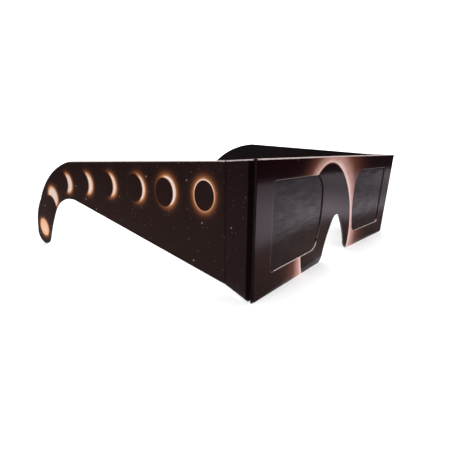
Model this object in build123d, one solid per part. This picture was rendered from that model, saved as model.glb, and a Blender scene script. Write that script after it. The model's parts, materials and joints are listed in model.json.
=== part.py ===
from build123d import *
import json
import os
from math import cos, radians, sin, tan

# Card eclipse glasses, folded from a die-cut board blank and standing open on their lower edges.
# X runs along the front, the front looks towards -Y, and the temples run back towards +Y.
# The wearer's right side is at -X. Lengths are in millimetres and angles in degrees.

# Board and film
board = 0.4
film = 0.1
film_lap = 4.0
score_gap = 0.02

# Front, between the two corner folds
front_width = 136.0
front_height = 50.8
bridge_half = 12.0
bow_angle = 2.44
foot_radius = 1.2
bead_rise_share = 0.3

# Lens windows, measured on the blank from the bridge and from the top edge
window_inner = 17.3
side_border = 10.3
top_border = 7.6
low_border = 8.5
outer_top_radius = 1.6
outer_low_radius = 2.2

# Nose notch
notch_width = 35.0
notch_height = 21.9

# Side strip between the corner fold and the rear score, and the temple behind it
strip_width = 13.3
temple_length = 126.0
rear_top_drop = 0.8
rear_low_rise = 2.8

# How each side is folded as the glasses stand: wearer's right, then wearer's left
right_lean_angle = 0.0
left_lean_angle = 4.0
right_rear_angle = -18.4
left_rear_angle = 28.0

# How far a cutting shape runs past what it cuts
overrun = 6.0

# Points of the window's inner side: shares of its width from that side, shares of its height from the top
window_inner_shares = [
    (0.166, 0.0), (0.057, 0.098), (0.0, 0.285), (0.006, 0.6), (0.057, 0.862), (0.1, 0.965), (0.19, 1.0)
]
window_low_outer_share = 0.973

# Points of half the notch: shares of its half width from the middle, shares of its height from the top
notch_shares = [(0.27, 0.135), (0.53, 0.47), (0.69, 0.79), (0.775, 0.93), (1.0, 1.0)]

# Points of the temple behind its straight edges: shares of its length, shares of the front's height from the top
hook_shares = [
    (0.68, 0.055), (0.815, 0.182), (0.93, 0.478), (0.97, 0.63), (0.992, 0.83),
    (0.98, 0.96), (0.949, 0.997), (0.922, 0.975), (0.903, 0.915), (0.866, 0.735),
    (0.824, 0.567), (0.764, 0.455), (0.682, 0.439)
]

# Sizes that follow from these
lean_angles = {"right": right_lean_angle, "left": left_lean_angle}
rear_angles = {"right": right_rear_angle, "left": left_rear_angle}
stack = board + film + board
corner_radius = stack / 2
rear_radius = board / 2
corner_clear = corner_radius + score_gap
rear_clear = rear_radius + score_gap
corner_angle = 90 + bow_angle
bow_radius = bridge_half / radians(bow_angle)
half_length = front_width / 2 - bridge_half
window_outer = front_width / 2 - side_border
window_width = window_outer - window_inner
window_height = front_height - top_border - low_border
mid_height = front_height / 2


def on_half(depth, along):
    """Point of the plan on the left half of the front, at a depth behind its outer face."""
    bow = radians(bow_angle)
    reach = bow_radius + depth
    start = Vector(reach * sin(bow), reach * cos(bow) - bow_radius)
    return start + Vector(cos(bow), -sin(bow)) * along


def across(distance):
    """X of a point of the left half whose distance from the bridge is measured along the board."""
    return on_half(0, distance - bridge_half).X


def flipped(point):
    """Mirror image of a point of the plan or of an outline, on the other side of the bridge."""
    return Vector(-point.X, point.Y)


def front_layer(near, far):
    """One ply of the front: two flat halves joined by an arc at the bridge, between two depths."""
    def course(depth):
        start, end = on_half(depth, 0), on_half(depth, half_length + overrun)
        middle = Vector(0, depth)
        return start, end, middle

    start, end, middle = course(near)
    start_far, end_far, middle_far = course(far)
    outline = Curve() + [
        Line(flipped(end), flipped(start)),
        ThreePointArc(flipped(start), middle, start),
        Line(start, end),
        Line(end, end_far),
        Line(end_far, start_far),
        ThreePointArc(start_far, middle_far, flipped(start_far)),
        Line(flipped(start_far), flipped(end_far)),
        Line(flipped(end_far), flipped(end)),
    ]
    return extrude(make_face(outline), amount=front_height)


def upright(face):
    """A cutting solid: an outline drawn with Z as its second coordinate, carried through the whole front."""
    return extrude(Plane.XZ * face, amount=front_width / 2, both=True)


def leaning(x, z, lean):
    """A point beside a fold line that leans outwards at its top and is in its true place at mid height."""
    return Vector(x + (z - mid_height) * tan(radians(lean)), z)


def chain(points, arcs):
    """Edges through a closed list of points; each start of an arc is named by its index in the list."""
    edges = []
    index = 0
    closed = points + points[:1]
    while index < len(points):
        if index in arcs:
            edges.append(ThreePointArc(closed[index], closed[index + 1], closed[index + 2]))
            index += 2
        else:
            edges.append(Line(closed[index], closed[index + 1]))
            index += 1
    return make_face(Curve() + edges)


def window_face(side):
    """The window's outline: a nearly straight outer side, and an inner side that bulges to the nose."""
    def place(share_across, share_down):
        x = across(window_inner + window_width * share_across)
        return Vector(side * x, front_height - top_border - window_height * share_down)

    def corner(share_across, share_down, radius, low):
        """Start, middle and end of a rounded outer corner, from its top or inner end on."""
        tip = place(share_across, share_down)
        inward = Vector(-side * radius, 0)
        along = Vector(0, radius if low else -radius)
        bulge = (inward + along) * (1 - cos(radians(45)))
        first, last = (along, inward) if low else (inward, along)
        return [tip + first, tip + bulge, tip + last]

    inner = [place(*share) for share in window_inner_shares]
    top = corner(1, 0, outer_top_radius, False)
    low = corner(window_low_outer_share, 1, outer_low_radius, True)
    points = top + low + inner[::-1]
    return chain(points, {0, 3, 6, 8, 10})


def notch_face():
    """The nose notch: a round apex, two flanks that open downwards and two round feet."""
    def place(share_across, share_down):
        return Vector(notch_width / 2 * share_across, notch_height * (1 - share_down))

    half = [place(*share) for share in notch_shares]
    low = Vector(0, -overrun)
    points = [flipped(half[0]), place(0, 0)] + half + [half[-1] + low, flipped(half[-1]) + low]
    points += [flipped(point) for point in half[:0:-1]]
    return chain(points, {0, 2, 4, 9, 11})


def panel_face():
    """The front's outline between its two corner folds, with round lower corners and the notch cut out."""
    end = on_half(0, half_length - corner_clear).X
    corners = []
    for side, z in (("right", 0), ("left", 0), ("left", front_height), ("right", front_height)):
        point = leaning(end, z, lean_angles[side])
        corners.append(point if side == "left" else flipped(point))
    outline = make_face(Polyline(*corners, close=True))
    return fillet(outline.vertices().group_by(Axis.Y)[0], foot_radius) - notch_face()


def film_face(side):
    """A film's rectangle: the window and the lap round it."""
    low, high = across(window_inner - film_lap), across(window_outer + film_lap)
    top = front_height - top_border + film_lap
    base = front_height - top_border - window_height - film_lap
    return Pos(side * (low + high) / 2, (top + base) / 2) * Rectangle(high - low, top - base)


def front_parts():
    """Two plies of board with the films and the glue between them."""
    windows = [upright(window_face(side)) for side in (-1, 1)]
    films = [upright(film_face(side)) for side in (-1, 1)]
    panel = upright(panel_face())
    holed = panel - windows[0] - windows[1]
    between = front_layer(board, board + film) & panel
    return {
        "front_panel": front_layer(0, board) & holed,
        "back_panel": front_layer(board + film, stack) & holed,
        "panel_glue": between - films[0] - films[1],
        "right_lens_film": between & films[0],
        "left_lens_film": between & films[1],
    }


def blank_edge(x):
    """Heights of the blank's lower and upper edge over the side strip, at a distance from the corner fold."""
    share = x / strip_width
    return rear_low_rise * share, front_height - rear_top_drop * share


def side_strip(lean):
    """The flat strip between the two folds, with a round at its lower front corner."""
    start, end = corner_clear, strip_width - rear_clear
    start_low, start_top = blank_edge(start)
    end_low, end_top = blank_edge(end)
    points = [(start, start_low), (end, end_low), (end, end_top), (start, start_top)]
    points = [leaning(x, z, lean) for x, z in points]
    outline = make_face(Polyline(*points, close=True))
    face = fillet(outline.vertices().sort_by_distance(points[0])[0], foot_radius)
    return extrude(Plane.XZ * face, amount=-board)


def temple(lean):
    """The flat temple: straight edges that draw together, then the ear hook."""
    start = strip_width + rear_clear
    low, top = blank_edge(strip_width)
    hook = [Vector(strip_width + temple_length * a, front_height * (1 - d)) for a, d in hook_shares]
    points = [leaning(start, low, lean), leaning(start, top, lean)] + hook
    face = chain(points, {2, 4, 6, 8, 10, 12})
    return extrude(Plane.XZ * face, amount=-board)


def fold_axis(x, y, lean):
    """A fold line of the flat blank, through its point at mid height."""
    return Axis((x, y, mid_height), (sin(radians(lean)), 0, cos(radians(lean))))


def score_bead(x, radius, low, top, lean):
    """The pressed fibres that stay along a score: a round bead between the two boards."""
    bead = Pos(x, radius, mid_height) * Rot(0, lean, 0) * Cylinder(radius, front_height + overrun)
    slab = Pos(x, radius, (low + top) / 2) * Box(strip_width, strip_width, top - low)
    return bead & slab


def side_parts(side):
    """One side, cut flat as a left side, folded at its two scores and carried to the end of the front."""
    lean = lean_angles[side]
    corner_axis = fold_axis(0, corner_radius, lean)
    rear_axis = fold_axis(strip_width, rear_radius, lean)
    rear_low, rear_top = blank_edge(strip_width)
    pieces = {
        "side_strip": side_strip(lean),
        "corner_score": score_bead(0, corner_radius, foot_radius * bead_rise_share, front_height, lean),
        "rear_score": score_bead(strip_width, rear_radius, rear_low, rear_top, lean),
        "temple": temple(lean).rotate(rear_axis, rear_angles[side]),
    }
    end = on_half(0, half_length)
    place = Pos(end.X, end.Y) * Rot(0, 0, -bow_angle)
    placed = {}
    for name, piece in pieces.items():
        piece = place * piece.rotate(corner_axis, corner_angle)
        placed[f"{side}_{name}"] = mirror(piece, Plane.YZ) if side == "right" else piece
    return placed


def fold_lines(side):
    """The two fold lines of a side as it stands, each as a point and a direction."""
    lean = lean_angles[side]
    corner = Vertex(0, corner_radius, mid_height)
    rear = Vertex(strip_width, rear_radius, mid_height).rotate(fold_axis(0, corner_radius, lean), corner_angle)
    end = on_half(0, half_length)
    place = Pos(end.X, end.Y) * Rot(0, 0, -bow_angle)
    upward = Vector(sin(radians(lean)), 0, cos(radians(lean))).rotate(Axis.Z, -bow_angle)
    sign = -1 if side == "right" else 1
    lines = {}
    for name, point in (("corner", corner), ("rear", rear)):
        at = (place * point).center()
        lines[f"{side}_{name}"] = (Vector(sign * at.X, at.Y, at.Z), Vector(sign * upward.X, upward.Y, upward.Z))
    return lines


parts = {**front_parts(), **side_parts("right"), **side_parts("left")}

# The origin is the middle of the whole's base
low = Vector(*[min(getattr(p.bounding_box().min, c) for p in parts.values()) for c in "XYZ"])
high = Vector(*[max(getattr(p.bounding_box().max, c) for p in parts.values()) for c in "XYZ"])
shift = Vector(-(low.X + high.X) / 2, -(low.Y + high.Y) / 2, -low.Z)

os.makedirs("parts", exist_ok=True)
for name, piece in parts.items():
    export_step(Pos(*shift) * piece, f"parts/{name}.step")

print("size", [round(v, 3) for v in high - low])
print("shift", [round(v, 4) for v in shift])
for side in ("right", "left"):
    for name, (point, direction) in fold_lines(side).items():
        at = point + shift
        print("fold", name, json.dumps([round(v, 5) for v in at]), json.dumps([round(v, 7) for v in direction]))
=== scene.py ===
import json
import math

import bpy
import numpy as np
from mathutils import Matrix, Vector


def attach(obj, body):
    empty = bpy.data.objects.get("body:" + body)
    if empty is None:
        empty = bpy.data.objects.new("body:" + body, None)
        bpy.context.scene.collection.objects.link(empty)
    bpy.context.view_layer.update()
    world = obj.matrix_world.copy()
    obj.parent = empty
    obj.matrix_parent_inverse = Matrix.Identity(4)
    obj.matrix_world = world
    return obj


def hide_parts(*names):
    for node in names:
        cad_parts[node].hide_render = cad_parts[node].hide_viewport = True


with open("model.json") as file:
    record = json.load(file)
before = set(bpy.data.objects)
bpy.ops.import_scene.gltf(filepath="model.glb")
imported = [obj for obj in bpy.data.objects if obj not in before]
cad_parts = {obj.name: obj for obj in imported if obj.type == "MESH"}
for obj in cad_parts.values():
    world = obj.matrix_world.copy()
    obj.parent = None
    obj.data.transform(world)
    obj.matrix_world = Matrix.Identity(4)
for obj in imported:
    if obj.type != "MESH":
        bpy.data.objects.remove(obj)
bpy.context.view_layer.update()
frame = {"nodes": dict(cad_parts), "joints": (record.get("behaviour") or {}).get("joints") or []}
MM = 0.001

# Camera: where the eye stands from the near corner fold and above the base, how it is turned in
# degrees, its focal length on a sensor of this width in mm, and the nearest thing that it sees
EYE_FROM_FOLD = (-0.06762, -0.05668)
EYE_HEIGHT = 0.0535
YAW, PITCH, ROLL = -43.79, 15.38, 0.14
FOCAL_LENGTH, SENSOR_WIDTH, NEAREST = 21.86, 36, 0.005

# Inks and board, as linear colours
INK_BLACK = (0.006, 0.004, 0.004, 1)
INK_FRONT = (0.0085, 0.0020, 0.0026, 1)
INK_TEMPLE = (0.0185, 0.0092, 0.0082, 1)
INK_STRIP = (0.0150, 0.0065, 0.0080, 1)
# Darkest ink, painted shade along the corner folds and the scores
INK_FOLD_SHADE = (0.004, 0.0012, 0.0012, 1)
NO_LIGHT = (0, 0, 0, 1)
# Sunlight as printed, from its core to its faint end: on the front, then in the temples' row
CORONA = ((0.98, 0.73, 0.71, 1), (0.56, 0.30, 0.25, 1), (0.125, 0.044, 0.027, 1))
SUNLIGHT = ((1.0, 0.84, 0.78, 1), (0.92, 0.49, 0.26, 1), (0.26, 0.085, 0.026, 1))
STAR_PALE = (0.55, 0.47, 0.43, 1)
# The board's cut edge: two pale tones for its painted highlight where it faces up, and two dark ones for
# painted shade, with some ink stain, on its sides and underneath
EDGE_LIT_PALE = ((0.58, 0.44, 0.41, 1), (0.88, 0.75, 0.71, 1))
EDGE_SHADED_DARK = ((0.020, 0.012, 0.011, 1), (0.055, 0.034, 0.030, 1))
# Pale tone of the painted highlights along the top edge and along the windows' lip
EDGE_HIGHLIGHT_PALE = (0.86, 0.72, 0.70, 1)
SCORE_FIBRE = (0.30, 0.20, 0.18, 1)
PASTE = ((0.30, 0.24, 0.20, 1), (0.46, 0.38, 0.33, 1))
FILM_TONES = ((0.0080, 0.0050, 0.0050, 1), (0.013, 0.010, 0.012, 1))

# The press coat on board: its tint, and its roughness and index of refraction on each board
COAT_TINT = (0.95, 0.80, 0.93, 1)
FRONT_COAT, SIDE_COAT, INNER_COAT = (0.34, 1.34), (0.38, 1.27), (0.40, 1.38)
EDGE_ROUGHNESS = 0.8
# Clear varnish over the ink: its roughness and index of refraction, and what is left of the ink's shine
FRONT_VARNISH, STRIP_VARNISH, FILM_VARNISH = (0.14, 1.345), (0.36, 1.27), (0.13, 1.31)
INK_SHINE = 0.02

# The eclipsed sun behind the nose: middle from the bridge and the base, half sizes, and how far its top
# tips towards the wearer's right
DISC_MIDDLE = (-9.3 * MM, 12.7 * MM)
DISC_HALF = (25.7 * MM, 35.3 * MM)
DISC_TIP = 0.13
# Its glow: the way it is narrowest, and how fast it fades at its widest and its narrowest
GLOW_NARROW = (-0.62, 0.78, 0.0)
GLOW_FADE = (-3.1, -7.0)

# The row of sun phases on a temple: distance behind the rear score, height, the share of the sun's full
# half sizes, the moon's shift and size in the sun's half sizes, strength, and softness of the outer limb
PHASE_HALF = (4.3 * MM, 5.7 * MM)
PHASES = [
    (9.05 * MM, 37.1 * MM, 1.05, (0.0, -0.030), 0.93, 1.7, 0.06),
    (26.7 * MM, 37.5 * MM, 1.05, (0.28, -0.09), 0.92, 1.35, 0.13),
    (42.4 * MM, 37.7 * MM, 0.97, (0.45, -0.01), 0.99, 1.1, 0.20),
    (59.2 * MM, 38.0 * MM, 0.90, (0.68, 0.01), 1.0, 1.02, 0.26),
    (75.0 * MM, 37.7 * MM, 0.87, (0.90, 0.02), 1.0, 1.0, 0.28),
    (90.4 * MM, 37.0 * MM, 0.82, (1.06, 0.02), 1.0, 0.98, 0.28),
    (104.8 * MM, 29.0 * MM, 0.92, (0.82, -1.05), 1.0, 0.94, 0.30),
    (118.0 * MM, 10.3 * MM, 0.84, (4.0, 0.0), 1.0, 0.76, 0.45),
]
# The glow of a phase: where it starts, how fast it fades and its strength
HALO_START, HALO_FADE, HALO_STRENGTH = 0.96, -4.6, 0.70

# The lip of a window on the print, where a pale line of painted highlight runs: its middle from the bridge
# and half sizes, its round corners, where it begins and its width
WINDOW_MIDDLE, WINDOW_HALF = (37.5 * MM, 25.85 * MM), (20.15 * MM, 17.35 * MM)
WINDOW_ROUND, LIP_START, LIP = 1.8 * MM, 24.4 * MM, 0.30 * MM

# Heights of the blank's top edge at the front, the rear score and the end of the temple's straight part
TOP_FRONT, TOP_REAR, TOP_TEMPLE = 50.8 * MM, 50.0 * MM, 48.0 * MM
STRIP_WIDTH, STRAIGHT_LENGTH = 13.3 * MM, 85.7 * MM
# Where the front's ends begin from its middle, how far behind the rear score the temple's end counts,
# where the dark band of painted shade along the corner fold fades, and the width of the painted highlight
# along the top edge
FRONT_END, TEMPLE_END = 65.5 * MM, 0.8 * MM
FOLD_SHADE_FADE = (2.3 * MM, 2.9 * MM)
TOP_HIGHLIGHT_WIDTH = 0.34 * MM

# The gloss by height on the front, painted shade of the room's light in its reflections: where it rises, its
# least weight and its rise, and where the top strip begins, with the share of the gloss that it takes away
SHEEN_RISE, SHEEN_LEAST, SHEEN_SHARE = (2.0 * MM, 31.0 * MM), 0.70, 0.26
TOP_STRIP, TOP_STRIP_LOSS = (41.6 * MM, 44.8 * MM), 0.96

# The film's ripples: strength, waves from foot to top, and the size, turn and start of their drift.
# Then the strength of one slow swell, the ripples' size and the seat of each face from the middle, both
# in half thicknesses of the film, and the points across and up a face
RIPPLES = [(1.0, 7.3, 0.8, 3.1, 1.0), (0.6, 12.7, -0.6, 4.3, 0.0), (0.3, 33.0, 0.5, 7.0, 1.0)]
SWELL = 0.8
RIPPLE_SIZE, SEAT = 0.16, 0.55
FILM_GRID = (81, 241)

# The pale paper: its near, left and right edges and its height, and the start and radius of its curve
PAPER_NEAR, PAPER_LEFT, PAPER_RIGHT, PAPER_HIGH = -0.128, -0.125, 2.6, 2.6
CURVE_START, CURVE_RADIUS = 1.1, 0.8
PAPER_PALE = (0.9, 0.9, 0.9, 1)
MATT = 0.9
# The cards that only reflections see: low and high x, low and high y, and how high they lie
FRONT_CARD, SIDE_CARD, CARD_HEIGHT = (-0.2, 1.4, -0.325, -0.0665), (-0.30, -0.0520, -0.0660, 0.30), 0.0002
# Their tones, painted light and shade for the reflections: far before the front, close to its near and far
# end as painted shade of the floor, beside the strip as painted shade, and dimmed where less light would
# reach
CARD_PURPLE = (0.97, 0.83, 0.95, 1)
CARD_BROWN, CARD_BROWN_FAR = (0.36, 0.25, 0.22, 1), (0.13, 0.085, 0.075, 1)
CARD_BESIDE = (0.24, 0.155, 0.135, 1)
CARD_DIM = (0.02, 0.015, 0.02, 1)
# What reflections find of the white room
ROOM_GLIMMER = 0.025

# Lamps: name, place, what they point at, size and power
LAMPS = [
    ("overhead softbox", (0.5, 0.65, 1.7), (0.35, 0.35, 0), (3.0, 2.8), 66),
    ("front lamp", (-0.05, -0.75, 0.75), (0.0, -0.2, 0), (0.4, 0.4), 6),
    ("side lamp", (-1.2, -0.1, 1.1), (-0.08, 0, 0.03), (0.6, 0.6), 9),
    ("backdrop light", (1.0, 0.9, 1.6), (2.2, 1.9, 0.5), (1.6, 1.6), 50),
]


def joint(name):
    """The record's row for a joint."""
    return next(row for row in frame["joints"] if row["name"] == name)


def pivot(name):
    """A joint's point in the plan."""
    return Vector(joint(name)["pos_m"][:2])


OUTWARD = {"right": -1, "left": 1}
ORIGIN_X = (pivot("right_corner_fold").x + pivot("left_corner_fold").x) / 2
EYE = Vector((*(pivot("right_corner_fold") + Vector(EYE_FROM_FOLD)), EYE_HEIGHT))


class Nodes:
    """A short way to write a node tree: each call adds a node and links its inputs."""

    def __init__(self, tree):
        self.tree = tree

    def add(self, kind, *inputs, **settings):
        node = self.tree.nodes.new(kind)
        for key, value in settings.items():
            setattr(node, key, value)
        for index, value in enumerate(inputs):
            self.put(node.inputs[index], value)
        return node

    def put(self, socket, value):
        """Links a socket, or sets it where the value is a plain one."""
        if isinstance(value, bpy.types.NodeSocket):
            self.tree.links.new(value, socket)
        else:
            socket.default_value = value

    def math(self, operation, *inputs, clamp=False):
        return self.add("ShaderNodeMath", *inputs, operation=operation, use_clamp=clamp).outputs[0]

    def plus(self, first, second):
        return self.math("ADD", first, second)

    def minus(self, first, second):
        return self.math("SUBTRACT", first, second)

    def times(self, first, second):
        return self.math("MULTIPLY", first, second)

    def vector(self, operation, *inputs, output=0):
        return self.add("ShaderNodeVectorMath", *inputs, operation=operation).outputs[output]

    def dot(self, first, second):
        return self.vector("DOT_PRODUCT", first, second, output=1)

    def length(self, vector):
        return self.vector("LENGTH", vector, output=1)

    def split(self, vector):
        """The three parts of a vector."""
        return self.add("ShaderNodeSeparateXYZ", vector).outputs

    def joined(self, across, high):
        """A point on a plane from its two parts."""
        return self.add("ShaderNodeCombineXYZ", across, high, 0.0).outputs[0]

    def mix(self, share, first, second, blend="MIX"):
        node = self.tree.nodes.new("ShaderNodeMix")
        node.data_type, node.blend_type = "RGBA", blend
        for label, value in (("Factor", share), ("A", first), ("B", second)):
            self.put(node.inputs[label], value)
        return node.outputs["Result"]

    def steps(self, value, low, high, first=0.0, last=1.0):
        """A smooth step of a value between low and high, from first to last."""
        node = self.add("ShaderNodeMapRange", value, low, high, first, last, interpolation_type="SMOOTHSTEP")
        return node.outputs[0]

    def noise(self, vector, scale, detail=2.0, roughness=0.5):
        node = self.tree.nodes.new("ShaderNodeTexNoise")
        values = {"Vector": vector, "Scale": scale, "Detail": detail, "Roughness": roughness}
        for label, value in values.items():
            self.put(node.inputs[label], value)
        return node.outputs["Fac"]

    def placed(self, key, **values):
        """One of the shared node groups, with its own values; gives its outputs."""
        node = self.tree.nodes.new("ShaderNodeGroup")
        node.node_tree = GROUPS[key]
        for label, value in values.items():
            self.put(node.inputs[label.replace("_", " ")], value)
        return node.outputs


FLOAT, VECTOR, COLOUR = "NodeSocketFloat", "NodeSocketVector", "NodeSocketColor"


def group(name, inputs, outputs):
    """An empty node group with named sockets; gives its writer, its inputs and its outputs by name."""
    tree = bpy.data.node_groups.new(name, "ShaderNodeTree")
    for label, kind in inputs:
        tree.interface.new_socket(label, in_out="INPUT", socket_type=kind)
    for label, kind in outputs:
        tree.interface.new_socket(label, in_out="OUTPUT", socket_type=kind)
    source = tree.nodes.new("NodeGroupInput")
    sink = tree.nodes.new("NodeGroupOutput")
    return Nodes(tree), source.outputs, sink.inputs


def sun_phase_group():
    """One sun with the moon before it. Inputs are in the sun's half sizes: the sun's disc is where the
    distance from its middle is under 1, the moon's where the distance from the moon's middle is under the
    moon's size. Light is sun without moon plus a glow that falls off outside the sun's limb, and Covered
    is 1 on either disc, where no specks are printed."""
    n, source, sink = group(
        "sun phase", [("Point", VECTOR), ("Moon", VECTOR), ("Moon Size", FLOAT), ("Strength", FLOAT),
                      ("Softness", FLOAT)],
        [("Light", FLOAT), ("Covered", FLOAT)])
    soft = source["Softness"]
    sun = n.length(source["Point"])
    moon = n.length(n.vector("SUBTRACT", source["Point"], source["Moon"]))
    inside = n.steps(sun, n.plus(1.0, soft), n.minus(1.0, soft))
    open_sky = n.steps(n.minus(moon, source["Moon Size"]), 0.0, n.plus(0.03, soft))
    halo = n.math("EXPONENT", n.times(n.math("MAXIMUM", n.minus(sun, HALO_START), 0.0), HALO_FADE))
    light = n.math("MAXIMUM", n.times(inside, source["Strength"]), n.times(halo, HALO_STRENGTH))
    n.put(sink["Light"], n.times(light, open_sky))
    n.put(sink["Covered"], n.math("LESS_THAN", n.math("MINIMUM", sun, moon), 1.0))
    return n.tree


def star_group():
    """Fine pale specks: the middles of the cells of a Voronoi pattern. A cell has a star where its random
    colour is under Share, and the star's brightness is the square of another random number."""
    n, source, sink = group(
        "star specks", [("Point", VECTOR), ("Scale", FLOAT), ("Share", FLOAT)], [("Stars", FLOAT)])
    cells = n.tree.nodes.new("ShaderNodeTexVoronoi")
    cells.feature = "F1"
    n.put(cells.inputs["Vector"], source["Point"])
    n.put(cells.inputs["Scale"], source["Scale"])
    speck = n.steps(cells.outputs["Distance"], 0.17, 0.04)
    pick = n.add("ShaderNodeSeparateColor", cells.outputs["Color"]).outputs
    chosen = n.math("LESS_THAN", pick[0], source["Share"])
    n.put(sink["Stars"], n.times(n.times(speck, chosen), n.times(pick[1], pick[1])))
    return n.tree


def coat_group():
    """The press coat on board: a faint orange peel in the height, and a little change of roughness with
    handling marks where a finer noise is high."""
    n, source, sink = group(
        "press coat", [("Point", VECTOR), ("Roughness", FLOAT)], [("Roughness", FLOAT), ("Height", FLOAT)])
    peel = n.noise(source["Point"], scale=1500.0)
    broad = n.noise(source["Point"], scale=60.0, detail=3.0)
    marks = n.noise(source["Point"], scale=210.0, detail=4.0, roughness=0.7)
    level = n.plus(source["Roughness"], n.times(n.minus(broad, 0.5), 0.10))
    n.put(sink["Roughness"], n.plus(level, n.steps(marks, 0.62, 0.75, 0.0, 0.09)))
    n.put(sink["Height"], n.plus(n.times(peel, 0.3), n.times(broad, 0.7)))
    return n.tree


def board_edge_group():
    """The cut edge of board: pale fibres where it faces up, a painted highlight of the light from above, and
    dark on its sides and underneath, painted shade with some ink stain; both tones vary at random with the
    fibre."""
    n, source, sink = group("cut edge", [("Point", VECTOR), ("Normal", VECTOR)], [("Colour", COLOUR)])
    fibre = n.noise(source["Point"], scale=2600.0, detail=3.0, roughness=0.7)
    stain = n.noise(source["Point"], scale=240.0)
    level = n.steps(n.plus(n.times(fibre, 0.6), n.times(stain, 0.4)), 0.3, 0.7)
    # Painted light: the edge is pale where it faces up, and dark with painted shade where it faces sideways
    # or down
    upward = n.steps(n.split(source["Normal"])[2], 0.1, 0.6)
    n.put(sink["Colour"], n.mix(upward, n.mix(level, *EDGE_SHADED_DARK), n.mix(level, *EDGE_LIT_PALE)))
    return n.tree


def window_lip_group():
    """Distance outside a window's outline, as a rectangle with round corners: with q = |p - middle| - half
    + round, it is length(max(q, 0)) - round where q has a positive part. Outside is that distance,
    Straight is 1 where the outline is the rectangle's, away from its bulging inner side, and Beside is 1
    along its upright side."""
    n, source, sink = group(
        "window lip", [("Across", FLOAT), ("Height", FLOAT)],
        [("Outside", FLOAT), ("Straight", FLOAT), ("Beside", FLOAT)])
    across = n.math("ABSOLUTE", source["Across"])
    q = []
    for value, middle, half in zip((across, source["Height"]), WINDOW_MIDDLE, WINDOW_HALF):
        beyond = n.minus(n.math("ABSOLUTE", n.minus(value, middle)), half)
        q.append(n.plus(beyond, WINDOW_ROUND))
    corner = n.length(n.joined(*(n.math("MAXIMUM", part, 0.0) for part in q)))
    n.put(sink["Outside"], n.minus(corner, WINDOW_ROUND))
    n.put(sink["Straight"], n.steps(across, LIP_START, LIP_START + 0.8 * MM))
    n.put(sink["Beside"], n.steps(n.minus(*q), -0.5 * MM, 0.5 * MM))
    return n.tree


def sheen_group():
    """Weight of the gloss on the front, by height, as painted shade of the room's light in its reflections:
    less towards the foot and least in the top strip. It is (least + share times the rise) times (1 - loss in
    the top strip)."""
    n, source, sink = group("sheen", [("Height", FLOAT)], [("Weight", FLOAT)])
    weight = n.plus(SHEEN_LEAST, n.times(n.steps(source["Height"], *SHEEN_RISE), SHEEN_SHARE))
    lost = n.times(n.steps(source["Height"], *TOP_STRIP), TOP_STRIP_LOSS)
    n.put(sink["Weight"], n.times(weight, n.minus(1.0, lost)))
    return n.tree


GROUPS = {"lip": window_lip_group(), "sheen": sheen_group(), "phase": sun_phase_group(),
          "stars": star_group(), "coat": coat_group(), "edge": board_edge_group()}


def material(name):
    """A new material; gives it, its node writer, its shader, and the place and normal on the piece."""
    made = bpy.data.materials.new(name)
    made.use_nodes = True
    tree = made.node_tree
    shader = next(node for node in tree.nodes if node.type == "BSDF_PRINCIPLED")
    coordinates = tree.nodes.new("ShaderNodeTexCoord").outputs
    return made, Nodes(tree), shader, coordinates["Object"], coordinates["Normal"]


def sides(n, normal, outward):
    """Masks of a board's printed side and its inner side, from the way a face looks. The cut edge is
    where both are 0."""
    facing = n.dot(normal, outward)
    return n.math("GREATER_THAN", facing, 0.6), n.math("LESS_THAN", facing, -0.6)


def bumped(n, shader, height, strength, distance):
    """Puts a height on a shader's normal."""
    bump = n.tree.nodes.new("ShaderNodeBump")
    for label, value in (("Strength", strength), ("Distance", distance), ("Height", height)):
        n.put(bump.inputs[label], value)
    n.put(shader.inputs["Normal"], bump.outputs[0])


def finish_board(n, shader, point, normal, masks, ink, coat, fold=None):
    """Puts the print, the black inner side and the cut edge on a board's shader, with the press coat.
    masks are those of sides(), coat is the press coat's roughness and index of refraction, and fold masks
    the ends that meet at a fold, where the real sheet goes on and no edge shows."""
    printed, inner = masks
    roughness, index = coat
    edge = n.placed("edge", Point=point, Normal=normal)["Colour"]
    if fold is not None:
        edge = n.mix(fold, edge, INK_BLACK)
    n.put(shader.inputs["Base Color"], n.mix(inner, n.mix(printed, edge, ink), INK_BLACK))
    surface = n.placed("coat", Point=point, Roughness=roughness)
    faces = n.math("ADD", printed, inner, clamp=True)
    n.put(shader.inputs["Roughness"],
          n.plus(n.times(surface["Roughness"], faces), n.times(n.minus(1.0, faces), EDGE_ROUGHNESS)))
    n.put(shader.inputs["Specular Tint"], COAT_TINT)
    n.put(shader.inputs["IOR"], index)
    bumped(n, shader, surface["Height"], 0.10, 0.1 * MM)


def with_top_highlight(n, colour, point, under_top):
    """A print with a pale line painted along the top edge, a painted highlight where the edge catches the
    light;
    under_top is the distance below that edge, less a ragged noise."""
    ragged = n.times(n.noise(point, scale=700.0, detail=3.0, roughness=0.6), TOP_HIGHLIGHT_WIDTH)
    line = n.steps(n.minus(under_top, ragged), TOP_HIGHLIGHT_WIDTH, 0.3 * TOP_HIGHLIGHT_WIDTH, 0.0, 0.9)
    return n.mix(line, colour, EDGE_HIGHLIGHT_PALE)


def varnished(n, shader, varnish, weight):
    """Moves a shader's shine from its ink to a clear varnish over it. varnish is its roughness and index
    of refraction."""
    roughness, index = varnish
    n.put(shader.inputs["Specular IOR Level"], INK_SHINE)
    n.put(shader.inputs["Coat Roughness"], roughness)
    n.put(shader.inputs["Coat IOR"], index)
    n.put(shader.inputs["Coat Weight"], weight)


def sun_colours(n, strength, colours):
    """Colour of printed sunlight by strength: nothing, then the faint end, the middle and the core."""
    core, middle, faint = colours
    colour = n.mix(n.steps(strength, 0.0, 0.35), NO_LIGHT, faint)
    colour = n.mix(n.steps(strength, 0.25, 0.7), colour, middle)
    return n.mix(n.steps(strength, 0.66, 0.95), colour, core)


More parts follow.
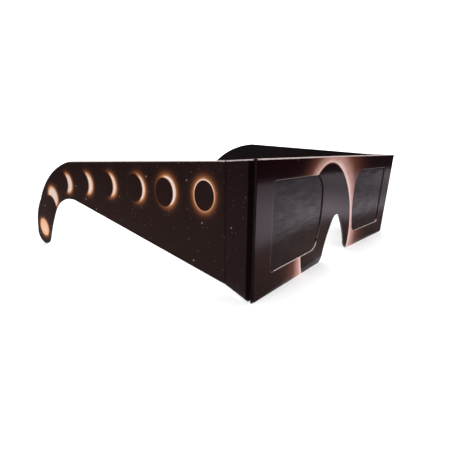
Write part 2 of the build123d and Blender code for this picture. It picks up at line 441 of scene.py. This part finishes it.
def with_stars(n, colour, flat, share):
    """A print with fine pale specks in it, in two sizes; flat is the place on the print's own plane, and
    share is how much of their strength they have."""
    fine = n.placed("stars", Point=flat, Scale=680.0, Share=0.9)["Stars"]
    large = n.placed("stars", Point=flat, Scale=300.0, Share=0.38)["Stars"]
    stars = n.math("MAXIMUM", n.times(fine, 0.45), n.times(large, 0.75))
    return n.mix(n.times(stars, share), colour, STAR_PALE)


def front_print():
    """The front's print: a dark disc round the nose with a bright rim that fades to copper and night.
    The light is exp(-k times the distance outside the disc), in half sizes of the disc, and k is largest
    towards the upper right of the wearer, so the glow is narrow there."""
    made, n, shader, point, normal = material("front print")
    place = n.vector("SUBTRACT", point, (ORIGIN_X + DISC_MIDDLE[0], 0.0, DISC_MIDDLE[1]))
    cosine, sine = math.cos(DISC_TIP), math.sin(DISC_TIP)
    wide = n.dot(place, (cosine / DISC_HALF[0], 0.0, sine / DISC_HALF[0]))
    high = n.dot(place, (-sine / DISC_HALF[1], 0.0, cosine / DISC_HALF[1]))
    disc = n.joined(wide, high)
    away = n.length(disc)
    outside = n.math("MAXIMUM", n.minus(away, 1.0), 0.0)
    fade = n.steps(n.dot(n.vector("NORMALIZE", disc), GLOW_NARROW), 0.25, 0.95, *GLOW_FADE)
    wisp = n.noise(disc, scale=2.4, detail=3.0)
    light = n.times(n.math("EXPONENT", n.times(outside, fade)), n.plus(0.80, n.times(wisp, 0.36)))
    light = n.times(light, n.steps(away, 0.985, 1.02))
    night = with_stars(n, INK_FRONT, n.vector("MULTIPLY", point, (1.0, 0.0, 1.0)), 0.3)
    colour = n.mix(1.0, night, sun_colours(n, light, CORONA), "ADD")
    x, _, height = n.split(point)
    across = n.minus(x, ORIGIN_X)
    lip = n.placed("lip", Across=across, Height=height)
    # A pale line of painted highlight just outside the window's lip, weaker on its upright sides
    lip_highlight = n.times(n.steps(lip["Outside"], LIP, 0.3 * LIP, 0.0, 0.24), lip["Straight"])
    lip_highlight = n.times(lip_highlight, n.minus(1.0, n.times(lip["Beside"], 0.75)))
    colour = n.mix(n.times(lip_highlight, n.steps(lip["Outside"], -0.2 * LIP, 0.0)), colour, EDGE_HIGHLIGHT_PALE)
    colour = with_top_highlight(n, colour, point, n.minus(TOP_FRONT, height))
    fold = n.math("GREATER_THAN", n.math("ABSOLUTE", across), FRONT_END)
    finish_board(n, shader, point, normal, sides(n, normal, (0.0, -1.0, 0.0)), colour, FRONT_COAT, fold)
    varnished(n, shader, FRONT_VARNISH, n.placed("sheen", Height=height)["Weight"])
    return made


def temple_print(side):
    """A temple's print: a row of suns, each more covered by the moon than the last towards the front."""
    made, n, shader, point, normal = material(f"{side} temple print")
    folded, flat = on_blank(n, point, side, "rear_fold", "temple")
    along, level = n.split(flat)[:2]
    total = covered = 0.0
    for distance, high, size, moon, moon_size, strength, softness in PHASES:
        local = n.vector("SUBTRACT", flat, (distance, high, 0.0))
        local = n.vector("MULTIPLY", local, (1 / (size * PHASE_HALF[0]), 1 / (size * PHASE_HALF[1]), 0.0))
        phase = n.placed("phase", Point=local, Moon=(*moon, 0.0), Moon_Size=moon_size, Strength=strength,
                         Softness=softness)
        total = n.math("MAXIMUM", total, phase["Light"])
        covered = n.math("MAXIMUM", covered, phase["Covered"])
    night = with_stars(n, INK_TEMPLE, flat, n.minus(1.0, covered))
    colour = n.mix(1.0, night, sun_colours(n, total, SUNLIGHT), "ADD")
    top = n.minus(TOP_REAR, n.times(along, (TOP_REAR - TOP_TEMPLE) / STRAIGHT_LENGTH))
    colour = with_top_highlight(n, colour, point, n.minus(top, level))
    masks = sides(n, normal, tuple(plate_normal(f"{side}_temple", OUTWARD[side])))
    fold = n.math("LESS_THAN", folded, TEMPLE_END)
    finish_board(n, shader, point, normal, masks, colour, SIDE_COAT, fold)
    return made


def strip_print(side):
    """The side strip's print: night ink a little more purple, with specks, and a dark band of painted shade
    along the rounded corner fold, where the varnish weight is also lower."""
    made, n, shader, point, normal = material(f"{side} strip print")
    folded, flat = on_blank(n, point, side, "corner_fold", "side_strip")
    along, level = n.split(flat)[:2]
    top = n.minus(TOP_FRONT, n.times(along, (TOP_FRONT - TOP_REAR) / STRIP_WIDTH))
    fold_shade = n.steps(folded, FOLD_SHADE_FADE[1], FOLD_SHADE_FADE[0])
    colour = n.mix(fold_shade, with_stars(n, INK_STRIP, flat, 1.0), INK_FOLD_SHADE)
    colour = with_top_highlight(n, colour, point, n.minus(top, level))
    masks = sides(n, normal, tuple(plate_normal(f"{side}_side_strip", OUTWARD[side])))
    fold = n.math("GREATER_THAN", n.math("ABSOLUTE", n.split(normal)[1]), 0.8)
    finish_board(n, shader, point, normal, masks, colour, SIDE_COAT, fold)
    varnished(n, shader, STRIP_VARNISH, n.minus(0.85, n.times(fold_shade, 0.7)))
    return made


def inner_board():
    """The inner ply: the same black on both sides."""
    made, n, shader, point, normal = material("inner board black")
    finish_board(n, shader, point, normal, sides(n, normal, (0.0, -1.0, 0.0)), INK_BLACK, INNER_COAT)
    return made


def score_ink():
    """Ink over a pressed score, near black as painted shade of the fold: worn through to pale fibres in a
    broken line along its top.
    """
    made, n, shader, point, _ = material("worn score ink")
    stretched = n.vector("MULTIPLY", point, (1.0, 1.0, 0.12))
    wear = n.steps(n.noise(stretched, scale=900.0, detail=4.0, roughness=0.7), 0.55, 0.8, 0.0, 0.12)
    n.put(shader.inputs["Base Color"], n.mix(wear, INK_FOLD_SHADE, SCORE_FIBRE))
    n.put(shader.inputs["Roughness"], 0.5)
    n.put(shader.inputs["Specular IOR Level"], 0.12)
    return made


def glue_material():
    """Dried paste: off-white, a little cloudy."""
    made, n, shader, point, _ = material("dried paste")
    n.put(shader.inputs["Base Color"], n.mix(n.noise(point, scale=400.0, detail=3.0), *PASTE))
    n.put(shader.inputs["Roughness"], 0.6)
    return made


def film_material():
    """Filter film: nearly black and glossy, with faint level streaks where it was drawn, and less glossy in a
    narrow line inside the window's lip, as painted shade where the lip shades the film."""
    made, n, shader, point, _ = material("filter film")
    streaks = n.noise(n.vector("MULTIPLY", point, (0.12, 0.12, 1.0)), scale=1400.0, detail=3.0, roughness=0.6)
    cloud = n.noise(n.vector("MULTIPLY", point, (0.5, 0.5, 1.0)), scale=160.0, detail=3.0)
    shade = n.steps(n.plus(n.times(streaks, 0.6), n.times(cloud, 0.4)), 0.38, 0.62)
    n.put(shader.inputs["Base Color"], n.mix(shade, *FILM_TONES))
    n.put(shader.inputs["Roughness"], n.plus(0.14, n.times(streaks, 0.16)))
    x, _, height = n.split(point)
    lip = n.placed("lip", Across=n.minus(x, ORIGIN_X), Height=height)
    shadow = n.times(n.steps(lip["Outside"], -0.7 * MM, 0.0), lip["Straight"])
    weight = n.times(n.placed("sheen", Height=height)["Weight"], n.minus(0.98, n.times(shade, 0.42)))
    varnished(n, shader, FILM_VARNISH, n.times(weight, n.minus(1.0, n.times(shadow, 0.8))))
    bumped(n, shader, streaks, 0.05, 0.2 * MM)
    return made


def node_points(node):
    """The points of a CAD node's mesh."""
    mesh = frame["nodes"][node].data
    points = np.empty(len(mesh.vertices) * 3, np.float32)
    mesh.vertices.foreach_get("co", points)
    return points.reshape(-1, 3).astype(float)


def plate_normal(node, sign):
    """Normal of a flat node's large faces, turned to the side of X that sign gives: the direction in which
    its points spread least."""
    points = node_points(node)
    spread = np.linalg.svd(points - points.mean(0), full_matrices=False)[2]
    normal = Vector(spread[2]).normalized()
    return normal if normal.x * sign > 0 else -normal


def on_blank(n, point, side, fold, plate):
    """Where a point of a folded plate lies on the flat blank. Back in the plate is square to the fold, and
    the blank's own length is that direction turned by the fold's lean. Gives the distance behind the fold,
    and the place as distance along the blank from the fold's middle and height on the blank."""
    row = joint(f"{side}_{fold}")
    axis = Vector(row["axis"])
    axis = axis if axis.z > 0 else -axis
    back = plate_normal(f"{side}_{plate}", OUTWARD[side]).cross(axis)
    back = back if back.y > 0 else -back
    lean = math.acos(min(1.0, axis.z))
    length = back * math.cos(lean) + axis * math.sin(lean)
    upward = axis * math.cos(lean) - back * math.sin(lean)
    place = n.vector("SUBTRACT", point, tuple(row["pos_m"]))
    folded, along, rise = (n.dot(place, tuple(way)) for way in (back, length, upward))
    return folded, n.joined(along, n.plus(rise, TOP_FRONT / 2))


def grid_mesh(name, points):
    """A surface over a grid of points, rows by columns by 3, as one mesh of quads."""
    rows, columns = points.shape[:2]
    index = np.arange(rows * columns).reshape(rows, columns)
    quads = np.stack([index[:-1, :-1], index[:-1, 1:], index[1:, 1:], index[1:, :-1]], -1).reshape(-1, 4)
    mesh = bpy.data.meshes.new(name)
    mesh.from_pydata(points.reshape(-1, 3).tolist(), [], quads.tolist())
    mesh.update()
    mesh.polygons.foreach_set("use_smooth", np.ones(len(mesh.polygons), bool))
    piece = bpy.data.objects.new(name, mesh)
    bpy.context.scene.collection.objects.link(piece)
    return piece


def rippled_film(side, made):
    """A film as a thin closed sheet. Along the window its plane has u across and v up, from 0 to 1, and
    both faces move together by a ripple: level sines of v whose phases drift with a sine of u, and one
    slow swell, fading out to nothing towards the film's edges, where the boards hold it flat."""
    node = f"{side}_lens_film"
    points = node_points(node)
    middle = points.mean(0)
    normal = np.array(plate_normal(node, OUTWARD[side]))
    normal = normal if normal[1] < 0 else -normal
    axes = np.stack([np.cross([0, 0, 1.0], normal), [0, 0, 1.0], normal])
    place = (points - middle) @ axes.T
    low, high = place.min(0), place.max(0)
    u, v = np.meshgrid(*(np.linspace(0, 1, count) for count in FILM_GRID))
    hold = np.clip(8 * u * (1 - u), 0, 1) * np.clip(8 * v * (1 - v), 0, 1)
    wave = SWELL * np.sin(5.0 * u + 2.4 * v)
    for strength, waves, drift, turn, start in RIPPLES:
        wave = wave + strength * np.sin(2 * math.pi * (waves * v + drift * np.sin(turn * u + start)))
    half_thickness = (high[2] - low[2]) / 2
    away = half_thickness * (RIPPLE_SIZE * wave * hold + SEAT)
    front = np.stack([low[0] + (high[0] - low[0]) * u, low[1] + (high[1] - low[1]) * v, away], -1)
    behind = front - [0, 0, 2 * SEAT * half_thickness]
    loop = np.concatenate([front, behind[::-1], front[:1]])
    sheet = grid_mesh(f"{side}_rippled_film", middle + loop @ axes)
    sheet.data.materials.append(made)
    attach(sheet, "front")
    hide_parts(node)


def dress():
    """Gives each CAD node its finish."""
    front = front_print()
    black = inner_board()
    score = score_ink()
    film = film_material()
    finishes = {"front_panel": front, "back_panel": black, "panel_glue": glue_material()}
    for side in ("right", "left"):
        rippled_film(side, film)
        finishes[f"{side}_side_strip"] = strip_print(side)
        finishes[f"{side}_temple"] = temple_print(side)
        finishes[f"{side}_corner_score"] = score
        finishes[f"{side}_rear_score"] = score
    for node, made in finishes.items():
        frame["nodes"][node].data.materials.clear()
        frame["nodes"][node].data.materials.append(made)


def pale_paper():
    """A sheet of paper that lies under the glasses and curves up behind them through a quarter of a
    circle, and one that stands far off at the wearer's left."""
    turn = np.linspace(0, math.pi / 2, 24)
    back = CURVE_START + CURVE_RADIUS
    y = np.concatenate([[PAPER_NEAR], CURVE_START + CURVE_RADIUS * np.sin(turn), [back]])
    z = np.concatenate([[0], CURVE_RADIUS * (1 - np.cos(turn)), [PAPER_HIGH]])
    x = np.broadcast_to([PAPER_LEFT, PAPER_RIGHT], (len(y), 2))
    y, z = (np.repeat(values[:, None], 2, 1) for values in (y, z))
    paper = grid_mesh("pale_paper", np.stack([x, y, z], -1))
    wall = grid_mesh("pale_side_paper", np.array(
        [[[PAPER_RIGHT, y, z] for y in (PAPER_NEAR, back)] for z in (0, PAPER_HIGH)]))
    made, n, shader, _, _ = material("pale paper")
    n.put(shader.inputs["Base Color"], PAPER_PALE)
    n.put(shader.inputs["Roughness"], MATT)
    n.put(shader.inputs["Specular IOR Level"], 0.1)
    for piece in (paper, wall):
        piece.data.materials.append(made)


def sheen_cards():
    """Cards that only reflections see, painted light and shade for the gloss. They give the gloss its level
    sheen: brown near the glasses as painted shade of the floor there, cool purple farther before them, darker
    beside the strip as painted shade, and dimmer towards the far end of the front."""
    made, n, shader, point, _ = material("shaded card")
    x, y = n.split(point)[:2]
    brown = n.mix(n.steps(x, -0.01, 0.11), CARD_BROWN, CARD_BROWN_FAR)
    tone = n.mix(n.steps(y, -0.108, -0.090), CARD_PURPLE, brown)
    tone = n.mix(n.steps(y, -0.0665, -0.060), tone, CARD_BESIDE)
    dimming = n.times(n.steps(x, -0.01, 0.31, 0.0, 0.86), n.steps(y, -0.26, -0.13, 0.78, 1.0))
    n.put(shader.inputs["Base Color"], n.mix(dimming, tone, CARD_DIM))
    n.put(shader.inputs["Roughness"], MATT)
    for name, (low_x, high_x, low_y, high_y) in (("sheen_card", FRONT_CARD), ("side_sheen_card", SIDE_CARD)):
        piece = grid_mesh(name, np.array(
            [[[x, y, CARD_HEIGHT] for x in (low_x, high_x)] for y in (low_y, high_y)]))
        piece.data.materials.append(made)
        piece.visible_camera = piece.visible_diffuse = piece.visible_shadow = False


def room():
    """A room that is white to the eye and dim in reflections."""
    world = bpy.data.worlds.new("dim room")
    bpy.context.scene.world = world
    world.use_nodes = True
    n = Nodes(world.node_tree)
    light = world.node_tree.nodes["Background"].inputs
    seen = n.tree.nodes.new("ShaderNodeLightPath").outputs["Is Camera Ray"]
    n.put(light["Strength"], n.plus(seen, ROOM_GLIMMER))
    n.put(light["Color"], (1, 1, 1, 1))


def lamp(name, place, aim, size, energy):
    """A soft rectangular lamp at a place, turned to what it points at."""
    data = bpy.data.lights.new(name, "AREA")
    data.shape = "RECTANGLE"
    data.size, data.size_y = size
    data.energy = energy
    light = bpy.data.objects.new(name, data)
    light.location = place
    light.rotation_euler = (Vector(aim) - Vector(place)).to_track_quat("-Z", "Y").to_euler()
    bpy.context.scene.collection.objects.link(light)


def camera():
    """The photograph's view: a wide lens close to the near corner, level with the top of the glasses."""
    yaw, pitch, roll = (math.radians(v) for v in (YAW, PITCH, ROLL))
    forward = Vector((-math.sin(yaw) * math.cos(pitch), math.cos(yaw) * math.cos(pitch), -math.sin(pitch)))
    right = Vector((math.cos(yaw), math.sin(yaw), 0))
    up = right.cross(forward)
    right, up = (right * math.cos(roll) + up * math.sin(roll), up * math.cos(roll) - right * math.sin(roll))
    data = bpy.data.cameras.new("camera")
    data.sensor_width = SENSOR_WIDTH
    data.lens = FOCAL_LENGTH
    data.clip_start = NEAREST
    view = bpy.data.objects.new("camera", data)
    view.matrix_world = Matrix((
        (right.x, up.x, -forward.x, EYE.x), (right.y, up.y, -forward.y, EYE.y),
        (right.z, up.z, -forward.z, EYE.z), (0, 0, 0, 1)))
    bpy.context.scene.collection.objects.link(view)
    bpy.context.scene.camera = view
    bpy.context.scene.view_settings.view_transform = "Standard"


camera()
pale_paper()
sheen_cards()
room()
for row in LAMPS:
    lamp(*row)
dress()
